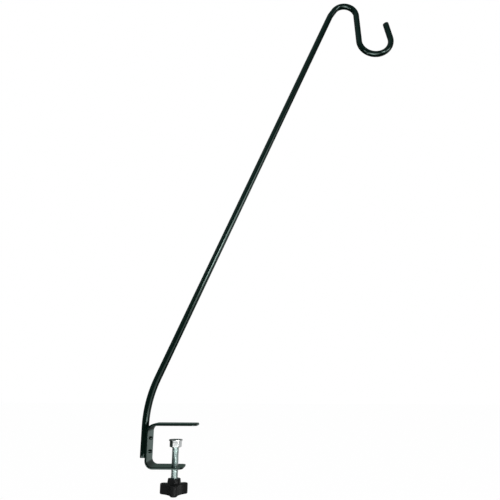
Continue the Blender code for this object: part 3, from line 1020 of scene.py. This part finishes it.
@dataclass
class LobedKnob(Part):
    """Moulded knob: three rounded lobes, a tapered hub and the pocket of its insert."""

    name = "knob_three_lobes"
    node = "knob"
    body = Body.SCREW
    slot = Slot.PLASTIC
    sharp = 50.0

    radius: float = 26.16 * MM
    lobe_end: float = 6.1 * MM
    waist: float = 12.2 * MM
    top: float = -93.2 * MM
    bottom: float = -110.6 * MM
    edge: float = 2.2 * MM
    hub_top: float = -84.8 * MM
    hub_radius: float = 10.6 * MM
    hub_foot: float = 11.7 * MM
    hub_edge: float = 0.9 * MM
    fillet: float = 1.1 * MM
    fillet_top: float = 1.32 * MM
    pocket: float = 8.05 * MM
    pocket_edge: float = 0.12 * MM
    pocket_depth: float = 18.3 * MM
    turn: float = LockNut.turn
    lobes: int = 3
    core_inset: float = 2.31 * MM
    ray_drop: float = 1.1 * MM
    crown_room: float = 0.3 * MM
    least_tilt: float = 0.012
    face_rows: int = 18
    edge_tilts: tuple[float, float, int] = (-84.0, -6.0, 11)
    side_rows: int = 9
    crown_rows: tuple[int, ...] = (11, 10, 8, 10, 7, 4)
    ray_length: float = 36.0 * MM
    ray_steps: int = 144
    halvings: int = 26
    sides: int = 360

    def outline_distance(self, radius: np.ndarray, angle: np.ndarray) -> np.ndarray:
        """Signed distance from the lobed outline, positive outside.

        The point is folded into half a lobe. There the outline is the lobe's end circle or the
        hollow's circle, which touch. The hollow's circle stands beyond the waist by its own
        radius on the line between two lobes, and its radius follows from that touch.

        Args:
            radius: Distances from the axis.
            angle: Angles from the middle of a lobe.

        Returns:
            The distances.
        """
        pitch = math.pi / self.lobes
        reach = self.radius - self.lobe_end
        along = reach * math.cos(pitch)
        hollow = ((self.lobe_end ** 2 - reach ** 2 - self.waist ** 2 + 2 * self.waist * along)
                  / (2 * (self.waist - along - self.lobe_end)))
        centre = (self.waist + hollow) * np.array([math.cos(pitch), math.sin(pitch)])
        folded = np.abs((angle + pitch) % (2 * pitch) - pitch)
        x, y = radius * np.cos(folded), radius * np.sin(folded)
        toward = np.array([reach, 0.0]) - centre
        cross = toward[0] * (y - centre[1]) - toward[1] * (x - centre[0])
        lobe = np.hypot(x - reach, y) - self.lobe_end
        waist = hollow - np.hypot(x - centre[0], y - centre[1])
        return np.where(cross < 0.0, waist, lobe)

    @staticmethod
    def rounded(side: np.ndarray, end: np.ndarray, edge: float) -> np.ndarray:
        """Signed distance from a body with a side and flat ends, with its edges rounded.

        With w the pair of distances, each plus the rounding e, it is
        min(max(w), 0) + length(max(w, 0)) - e.

        Args:
            side: Signed distance from the body's side.
            end: Signed distance from its nearer end.
            edge: Radius of the rounding.

        Returns:
            The distances.
        """
        side, end = side + edge, end + edge
        return (np.minimum(np.maximum(side, end), 0.0)
                + np.hypot(np.maximum(side, 0.0), np.maximum(end, 0.0)) - edge)

    def distance(self, radius: np.ndarray, height: np.ndarray, angle: np.ndarray
                 ) -> np.ndarray:
        """Signed distance from the whole knob, positive outside.

        The lobes are the outline drawn out along Z, and the hub is a tapered cylinder. Where
        the two meet, a polynomial smooth minimum leaves the moulding's fillet.

        Args:
            radius: Distances from the axis.
            height: Heights.
            angle: Angles round the axis.

        Returns:
            The distances.
        """
        middle, half = (self.top + self.bottom) / 2, (self.top - self.bottom) / 2
        outline = self.outline_distance(radius, angle - self.turn)
        lobes = self.rounded(outline, np.abs(height - middle) - half, self.edge)
        share = np.clip((self.hub_top - height) / (self.hub_top - self.top), 0.0, 1.0)
        wall = self.hub_radius + share * (self.hub_foot - self.hub_radius)
        hub = self.rounded(radius - wall, height - self.hub_top, self.hub_edge)
        hub = np.maximum(hub, middle - height)
        near = np.clip(0.5 + 0.5 * (hub - lobes) / self.fillet, 0.0, 1.0)
        return hub + near * (lobes - hub) - self.fillet * near * (1.0 - near)

    def crossings(self, rays: Sequence[tuple[Numbers, ...]], angle: np.ndarray
                  ) -> tuple[np.ndarray, np.ndarray]:
        """Where rays leave the knob: a coarse march out, then halving of the step it left in.

        Args:
            rays: Start radius and height and the two parts of the direction, of each row.
            angle: The columns' angles.

        Returns:
            Radii and heights, rows by angles.
        """
        start_r, start_z, way_r, way_z = (
            np.stack([np.broadcast_to(part, angle.shape) for part in parts])
            for parts in zip(*rays))

        def inside(step: Numbers) -> np.ndarray:
            """Whether the rays are in the knob at a distance from their starts."""
            return self.distance(start_r + step * way_r, start_z + step * way_z, angle) <= 0.0

        near, within = np.zeros_like(start_r), np.ones(start_r.shape, bool)
        for step in np.linspace(0.0, self.ray_length, self.ray_steps + 1)[1:]:
            within &= inside(step)
            near = np.where(within, step, near)
        far = near + self.ray_length / self.ray_steps
        for _ in range(self.halvings):
            half = (near + far) / 2
            held = inside(half)
            near, far = np.where(held, half, near), np.where(held, far, half)
        return start_r + near * way_r, start_z + near * way_z

    def grids(self) -> list[np.ndarray]:
        """The knob's outside, from its lower middle up to the insert's pocket.

        Rays run down from the mid plane for the lower face, fan out for its rounded edge, run
        level for the lobes' sides, and fan out from a low point on the axis for the upper face,
        the fillet and the hub. That fan's marks are the elevations at which one form gives way
        to the next, and between two marks the cotangent goes in even steps.

        Returns:
            The knob's one grid.
        """
        angle = circle(self.sides)
        middle = (self.top + self.bottom) / 2
        lower, upper = self.bottom + self.edge, self.top - self.edge
        level = self.crossings([(0.0, middle, 1.0, 0.0)], angle)[0][0]
        core = level - self.core_inset
        rays = [(core * share, middle, 0.0, -1.0)
                for share in np.linspace(0.0, 1.0, self.face_rows)]
        rays += [(core, lower, math.cos(tilt), math.sin(tilt))
                 for tilt in np.radians(np.linspace(*self.edge_tilts))]
        rays += [(0.0, height, 1.0, 0.0) for height in np.linspace(lower, upper, self.side_rows)]
        low = upper - self.ray_drop

        def mark(radius: Numbers, height: float) -> Numbers:
            """Elevation of a radius and a height from the low point."""
            return np.arctan2(height - low, radius)

        crown = mark(np.maximum(core, self.hub_foot + self.crown_room), self.top)
        foot = np.maximum(mark(self.hub_foot + self.fillet, self.top), crown + self.least_tilt)
        wall = np.maximum(mark(self.hub_foot, self.top + self.fillet_top),
                          foot + self.least_tilt)
        marks = [mark(level, upper), crown, foot, wall,
                 mark(self.hub_radius, self.hub_top - self.hub_edge),
                 mark(self.hub_radius - self.hub_edge, self.hub_top),
                 mark(self.pocket + self.pocket_edge, self.hub_top)]
        for first, last, count in zip(marks, marks[1:], self.crown_rows):
            for share in np.linspace(0.0, 1.0, count + 1)[1:]:
                tilt = np.arctan(1.0 / ((1 - share) / np.tan(first) + share / np.tan(last)))
                rays.append((0.0, low, np.cos(tilt), np.sin(tilt)))
        floor = self.hub_top - self.pocket_depth
        return [ringed([*zip(*self.crossings(rays, angle)),
                        (self.pocket, self.hub_top - self.pocket_edge),
                        (self.pocket, floor), (0.0, floor)], angle)]


@dataclass
class KnobInsert(Part):
    """Threaded steel bush moulded into the knob, just under the hub's top.

    The groove's ends are shares of the bush's length, from its top.
    """

    name = "insert_threaded_bush"
    node = "knob_insert"
    body = Body.SCREW
    slot = Slot.ZINC

    top: float = LobedKnob.hub_top
    sunk: float = 0.15 * MM
    radius: float = LobedKnob.pocket - 0.05 * MM
    length: float = LobedKnob.pocket_depth - 0.3 * MM
    bore: float = ClampStud.radius + 0.05 * MM
    bore_chamfer: float = 0.6 * MM
    groove: float = 1.0 * MM
    groove_ends: Span = (0.33, 0.67)
    face_round: float = 0.15 * MM
    edge_round: float = 0.2 * MM

    def grids(self) -> list[np.ndarray]:
        """Turn the bush: chamfered bore, flat face and the groove that keys it in the knob.

        Returns:
            The bush's one grid.
        """
        face, foot = self.top - self.sunk, self.top - self.length
        middle = (self.top + foot) / 2
        upper, lower = (self.top - share * self.length for share in self.groove_ends)
        inner = self.radius - self.groove
        return [lathe(softened([
            (self.bore, middle, 0.0),
            (self.bore, face - self.bore_chamfer, 0.0),
            (self.bore + self.bore_chamfer, face, self.face_round),
            (self.radius, face, self.edge_round),
            (self.radius, upper, 0.0),
            (inner, upper - self.groove, 0.0),
            (inner, lower + self.groove, 0.0),
            (self.radius, lower, 0.0),
            (self.radius, foot, self.edge_round),
            (self.bore, foot, self.edge_round),
            (self.bore, middle, 0.0),
        ]))]


# Studio


@dataclass(frozen=True)
class Glow:
    """A soft patch of light far off in the room, as glossy pieces mirror it.

    Its azimuth runs from +X towards +Y and its elevation up from the horizon. Width and height
    are the angles from its middle at which it has fallen to 1/e. All angles are in degrees.
    """

    azimuth: float
    elevation: float
    width: float
    height: float
    strength: float
    tint: Triple = (1.0, 1.0, 1.0)

    def shine(self, room: Wiring, way: Socket) -> Socket:
        """Brightness of the patch in a direction.

        With u and v the direction's parts across and up the patch, each over the sine of the
        patch's own angle, the brightness is its strength times e to the minus (u u + v v), on
        the patch's own side of the room.

        Args:
            room: The room's nodes.
            way: The direction that is looked in.

        Returns:
            The brightness.
        """

        def part(line: Vector) -> Socket:
            """The direction's part along a line."""
            return room.node("VectorMath", way, tuple(line),
                             operation="DOT_PRODUCT").outputs["Value"]

        turn, rise = math.radians(self.azimuth), math.radians(self.elevation)
        axis = Vector((math.cos(turn) * math.cos(rise), math.sin(turn) * math.cos(rise),
                       math.sin(rise)))
        across = Vector((-math.sin(turn), math.cos(turn), 0.0))
        squares = []
        for line, size in ((across, self.width), (axis.cross(across), self.height)):
            share = part(line / math.sin(math.radians(size)))
            squares.append(room.math("MULTIPLY", share, share))
        fall = room.math("EXPONENT", room.math("MULTIPLY", room.math("ADD", *squares), -1.0))
        side = room.math("GREATER_THAN", part(axis), 0.0)
        return room.math("MULTIPLY", room.math("MULTIPLY", fall, side), self.strength)


@dataclass(frozen=True)
class Lamp:
    """A soft square lamp, too diffuse to be mirrored."""

    name: str
    place: Triple
    side: float
    power: float

    def hang(self, aim: Triple) -> None:
        """Hang the lamp, facing a point.

        Args:
            aim: The point.
        """
        data = bpy.data.lights.new(self.name, "AREA")
        data.shape = "RECTANGLE"
        data.size = self.side
        data.size_y = self.side
        data.energy = self.power
        lamp = bpy.data.objects.new(self.name, data)
        lamp.location = self.place
        way = Vector(aim) - Vector(self.place)
        lamp.rotation_euler = way.to_track_quat("-Z", "Y").to_euler()
        lamp.visible_camera = False
        lamp.visible_glossy = False
        bpy.context.scene.collection.objects.link(lamp)


@dataclass
class Studio:
    """A pale floor, a dim room with soft lights, a white backdrop and the photo's camera."""

    floor_z: float = -0.165
    floor_half: float = 14.0
    floor_white: float = 0.99
    floor_tone: Triple = (0.80, 0.80, 0.80)
    floor_rough: float = 0.9
    floor_gloss: float = 0.2
    camera_place: Triple = (142.62 * MM, -921.22 * MM, 50.22 * MM)
    camera_turn: float = math.radians(0.967)
    camera_pitch: float = math.radians(16.247)
    camera_roll: float = math.radians(0.227)
    camera_clip: Span = (0.01, 60.0)
    sensor: float = 36.0
    focal_share: float = 499.88 / 500.0
    lamp_aim: Triple = (0.15, 0.0, 0.35)
    lamps: tuple[Lamp, ...] = (
        Lamp("front_softbox", (-0.7, -2.3, 1.3), 1.3, 34.0),
        Lamp("overhead_softbox", (0.1, -0.3, 2.7), 1.8, 30.0),
    )
    room_tone: Triple = (0.01512, 0.018, 0.01728)
    glows: tuple[Glow, ...] = (
        Glow(-35.0, -2.0, 10.0, 9.0, 8.0),
        Glow(-35.0, -19.0, 9.0, 6.0, 2.2),
        Glow(-80.0, -28.0, 24.0, 8.0, 0.9),
        Glow(-97.0, -49.0, 16.0, 13.0, 12.0),
        Glow(-76.0, -19.0, 12.0, 7.0, 4.4),
        Glow(-59.0, 0.0, 3.6, 3.6, 44.0),
        Glow(-160.0, -6.0, 20.0, 8.0, 0.06),
        Glow(30.0, -4.0, 28.0, 11.0, 0.95),
        Glow(-115.0, 42.0, 62.0, 24.0, 0.28, (0.72, 1.0, 1.0)),
        Glow(-135.0, -26.0, 5.0, 5.0, 12.0),
        Glow(-163.0, -55.0, 6.0, 6.0, 10.0),
        Glow(76.0, -4.5, 18.0, 4.4, 0.16, (0.4, 1.0, 0.8)),
        Glow(98.0, 8.0, 24.0, 9.0, 0.06, (0.3, 1.0, 0.72)),
        Glow(62.0, 50.0, 40.0, 22.0, 0.3),
        Glow(150.0, 52.0, 40.0, 22.0, 0.3),
    )
    backdrop: Glow = Glow(76.0, -4.5, 18.0, 4.4, 0.20)

    def camera(self) -> None:
        """Aim the camera: level along +Y, rolled, pitched up, then turned towards -X."""
        data = bpy.data.cameras.new("photo_camera")
        data.sensor_width = self.sensor
        data.lens = self.sensor * self.focal_share
        data.clip_start, data.clip_end = self.camera_clip
        camera = bpy.data.objects.new("photo_camera", data)
        camera.matrix_world = (Matrix.Translation(self.camera_place)
                               @ Matrix.Rotation(self.camera_turn, 4, "Z")
                               @ Matrix.Rotation(math.pi / 2 + self.camera_pitch, 4, "X")
                               @ Matrix.Rotation(self.camera_roll, 4, "Z"))
        bpy.context.scene.collection.objects.link(camera)
        bpy.context.scene.camera = camera

    def floor(self) -> None:
        """Lay a wide pale floor: white to the camera but for a soft shadow.

        Gloss and glass look through it at the room, which goes on below the horizon.
        """
        half = self.floor_half
        corners = [(x, y, self.floor_z)
                   for x, y in ((-half, -half), (half, -half), (half, half), (-half, half))]
        mesh = bpy.data.meshes.new("studio_floor")
        mesh.from_pydata(corners, [], [(0, 1, 2, 3)])
        floor = bpy.data.objects.new("studio_floor", mesh)
        bpy.context.scene.collection.objects.link(floor)
        graph = Finish("studio_floor_white")
        mesh.materials.append(graph.finish(
            Base_Color=self.floor_tone, Roughness=self.floor_rough,
            Specular_IOR_Level=self.floor_gloss))
        glow = graph.node("Emission", (1.0, 1.0, 1.0)).outputs[0]
        clear = graph.node("BsdfTransparent").outputs[0]
        ray = graph.node("LightPath").outputs
        seen = graph.math("MULTIPLY", ray["Is Camera Ray"], self.floor_white)
        white = graph.node("MixShader", seen, graph.shader.outputs[0], glow).outputs[0]
        through = graph.math("MAXIMUM", ray["Is Glossy Ray"], ray["Is Transmission Ray"])
        surface = graph.node("MixShader", through, white, clear).outputs[0]
        graph.settle(graph.tree.nodes["Material Output"], Surface=surface)

    def room(self) -> None:
        """Light the room softly, and hang a backdrop that is white to the camera.

        The colour in a direction is the room's own tone plus every glow. Gloss and glass see
        the backdrop too.
        """
        world = bpy.data.worlds.new("studio_room")
        world.use_nodes = True
        room = Wiring(world.node_tree)
        way = room.node("TexCoord").outputs["Generated"]
        total: Value = self.room_tone
        for glow in self.glows:
            patch = room.node("VectorMath", glow.tint, operation="SCALE",
                              Scale=glow.shine(room, way)).outputs["Vector"]
            total = room.node("VectorMath", total, patch, operation="ADD").outputs["Vector"]
        lit = room.tree.nodes["Background"]
        room.settle(lit, Color=total)
        white = room.node("Background", (1.0, 1.0, 1.0)).outputs[0]
        ray = room.node("LightPath").outputs
        through = room.math("MAXIMUM", ray["Is Glossy Ray"], ray["Is Transmission Ray"])
        behind = room.math("MULTIPLY", through, self.backdrop.shine(room, way))
        share = room.math("MAXIMUM", ray["Is Camera Ray"], behind)
        surface = room.node("MixShader", share, lit.outputs[0], white).outputs[0]
        room.settle(room.tree.nodes["World Output"], Surface=surface)
        bpy.context.scene.world = world

    def build(self) -> None:
        """Set up the stage."""
        self.camera()
        self.floor()
        self.room()
        for lamp in self.lamps:
            lamp.hang(self.lamp_aim)
        bpy.context.scene.view_settings.view_transform = "Standard"


def main() -> None:
    """Build the finishes, the pieces and the studio in order."""
    logging.basicConfig(level=logging.INFO, format="%(name)s %(message)s")
    coat = PowderCoat().build()
    zinc = ZincPlate().build()
    blue_zinc = ZincPlate("zinc_plate_blue", colour=(0.84, 0.95, 0.93),
                          shade=(0.72, 0.83, 0.81)).build()
    plastic = MouldedPlastic().build()
    upper_hole, lower_hole = ClampBracket.web_hole_z
    HookRod().build(coat)
    ClampBracket().build(coat)
    PlugWeld("plug_upper", "weld_upper", upper_hole, seed=11).build(coat)
    PlugWeld("plug_lower", "weld_lower", lower_hole, seed=12).build(coat)
    ClampStud().build(blue_zinc)
    LockNut().build(zinc)
    PressurePad().build(zinc)
    LobedKnob().build(plastic)
    KnobInsert().build(zinc)
    Studio().build()


if __name__ == "__main__":
    main()
